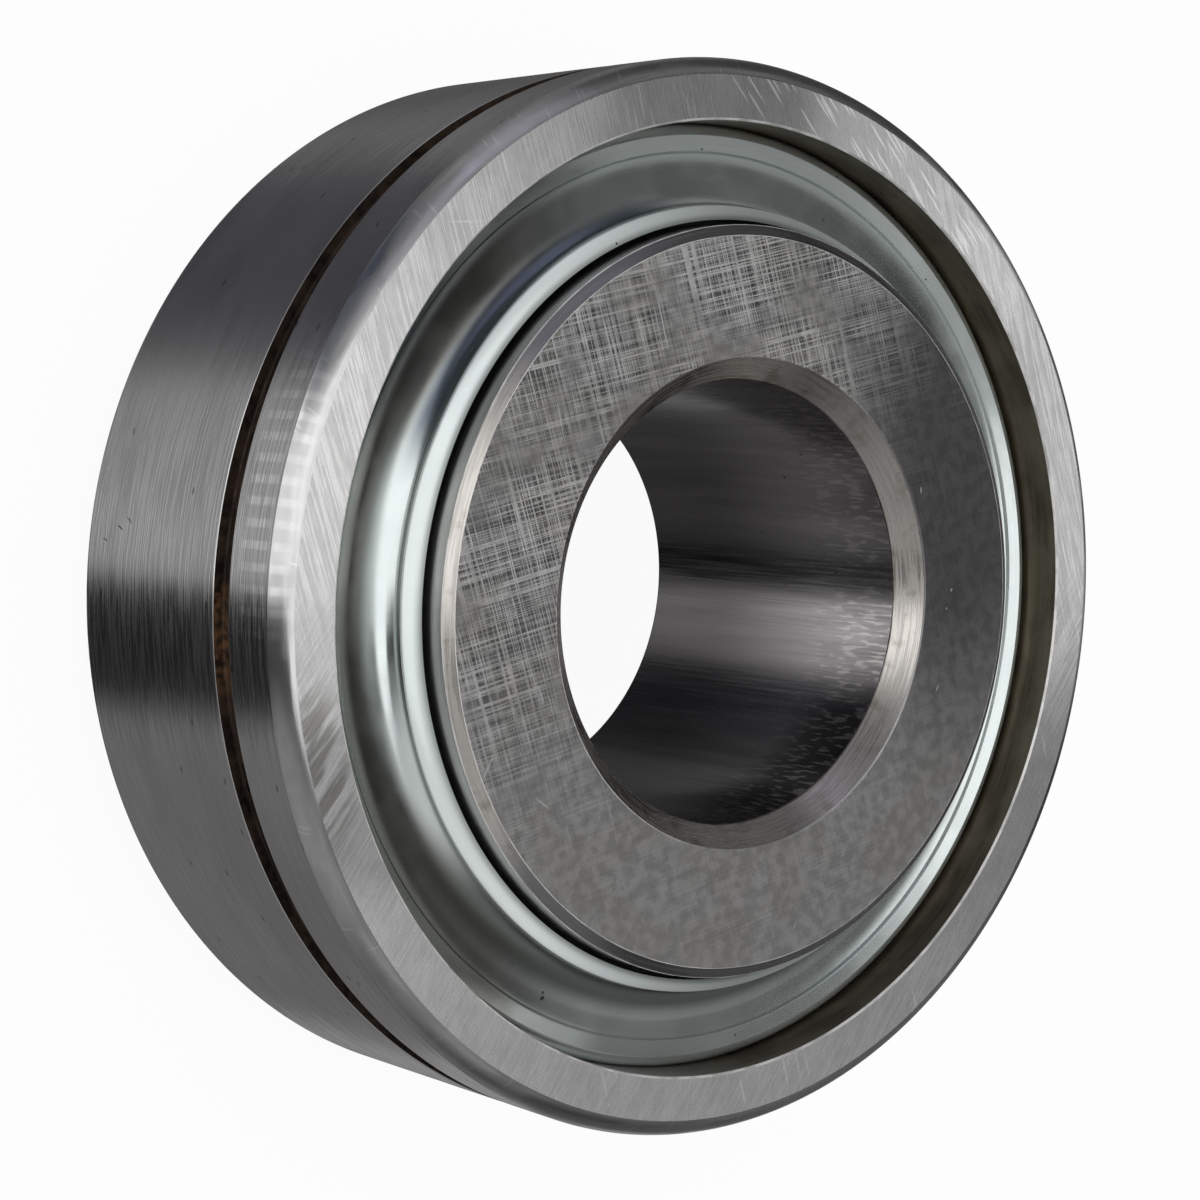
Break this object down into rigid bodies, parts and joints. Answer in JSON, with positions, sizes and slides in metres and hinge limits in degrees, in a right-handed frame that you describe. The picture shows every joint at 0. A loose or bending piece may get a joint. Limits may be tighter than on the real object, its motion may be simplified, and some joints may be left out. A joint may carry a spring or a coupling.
{
  "type": "disc harrow bearing",
  "caption": "Wide sealed ball bearing with a round bore and a grease channel round the outer ring, for a disc harrow gang.",
  "frame": {"origin": "centre of the ball row, on the axis of the bore, in the outer ring's mid-plane", "axes": "+Z along the bearing's axis, out of the face that the picture shows; +X to the right and +Y up in the picture"},
  "size_m": [0.1, 0.1, 0.0396],
  "materials": {
    "ground_steel": "ground bearing steel",
    "ball_steel": "lapped and polished",
    "cage_steel": "pressed sheet, as rolled",
    "zinc_plate": "blue-green passivated zinc plate, satin",
    "seal_rubber": "moulded nitrile rubber",
    "plate_steel": "pressed sheet"
  },
  "bodies": {
    "outer_assembly": {"outer_ring": "ground_steel", "front_seal_cover": "zinc_plate", "front_seal_rubber": "seal_rubber", "front_seal_plate": "plate_steel", "back_seal_cover": "zinc_plate", "back_seal_rubber": "seal_rubber", "back_seal_plate": "plate_steel"},
    "inner_race": {"inner_ring": "ground_steel"},
    "cage": {"cage_front_half": "cage_steel", "cage_back_half": "cage_steel", "cage_rivets": "cage_steel"},
    "ball_01_body": {"ball_01": "ball_steel"},
    "ball_02_body": {"ball_02": "ball_steel"},
    "ball_03_body": {"ball_03": "ball_steel"},
    "ball_04_body": {"ball_04": "ball_steel"},
    "ball_05_body": {"ball_05": "ball_steel"},
    "ball_06_body": {"ball_06": "ball_steel"},
    "ball_07_body": {"ball_07": "ball_steel"},
    "ball_08_body": {"ball_08": "ball_steel"},
    "ball_09_body": {"ball_09": "ball_steel"},
    "ball_10_body": {"ball_10": "ball_steel"}
  },
  "joints": [
    {"name": "inner_spin", "type": "hinge", "parent": "outer_assembly", "child": "inner_race", "pos_m": [0, 0, 0], "axis": [0, 0, 1], "continuous": true},
    {"name": "cage_spin", "type": "hinge", "parent": "outer_assembly", "child": "cage", "pos_m": [0, 0, 0], "axis": [0, 0, 1], "continuous": true},
    {"name": "ball_01_spin", "type": "hinge", "parent": "cage", "child": "ball_01_body", "pos_m": [0.03685, 0.01197, 0], "axis": [0, 0, 1], "continuous": true},
    {"name": "ball_02_spin", "type": "hinge", "parent": "cage", "child": "ball_02_body", "pos_m": [0.02278, 0.03135, 0], "axis": [0, 0, 1], "continuous": true},
    {"name": "ball_03_spin", "type": "hinge", "parent": "cage", "child": "ball_03_body", "pos_m": [0, 0.03875, 0], "axis": [0, 0, 1], "continuous": true},
    {"name": "ball_04_spin", "type": "hinge", "parent": "cage", "child": "ball_04_body", "pos_m": [-0.02278, 0.03135, 0], "axis": [0, 0, 1], "continuous": true},
    {"name": "ball_05_spin", "type": "hinge", "parent": "cage", "child": "ball_05_body", "pos_m": [-0.03685, 0.01197, 0], "axis": [0, 0, 1], "continuous": true},
    {"name": "ball_06_spin", "type": "hinge", "parent": "cage", "child": "ball_06_body", "pos_m": [-0.03685, -0.01197, 0], "axis": [0, 0, 1], "continuous": true},
    {"name": "ball_07_spin", "type": "hinge", "parent": "cage", "child": "ball_07_body", "pos_m": [-0.02278, -0.03135, 0], "axis": [0, 0, 1], "continuous": true},
    {"name": "ball_08_spin", "type": "hinge", "parent": "cage", "child": "ball_08_body", "pos_m": [0, -0.03875, 0], "axis": [0, 0, 1], "continuous": true},
    {"name": "ball_09_spin", "type": "hinge", "parent": "cage", "child": "ball_09_body", "pos_m": [0.02278, -0.03135, 0], "axis": [0, 0, 1], "continuous": true},
    {"name": "ball_10_spin", "type": "hinge", "parent": "cage", "child": "ball_10_body", "pos_m": [0.03685, -0.01197, 0], "axis": [0, 0, 1], "continuous": true}
  ],
  "couplings": [
    {"joint": "cage_spin", "follows": "inner_spin", "ratio": 0.40782},
    {"joint": "ball_01_spin", "follows": "inner_spin", "ratio": -2.6199},
    {"joint": "ball_02_spin", "follows": "inner_spin", "ratio": -2.6199},
    {"joint": "ball_03_spin", "follows": "inner_spin", "ratio": -2.6199},
    {"joint": "ball_04_spin", "follows": "inner_spin", "ratio": -2.6199},
    {"joint": "ball_05_spin", "follows": "inner_spin", "ratio": -2.6199},
    {"joint": "ball_06_spin", "follows": "inner_spin", "ratio": -2.6199},
    {"joint": "ball_07_spin", "follows": "inner_spin", "ratio": -2.6199},
    {"joint": "ball_08_spin", "follows": "inner_spin", "ratio": -2.6199},
    {"joint": "ball_09_spin", "follows": "inner_spin", "ratio": -2.6199},
    {"joint": "ball_10_spin", "follows": "inner_spin", "ratio": -2.6199}
  ]
}
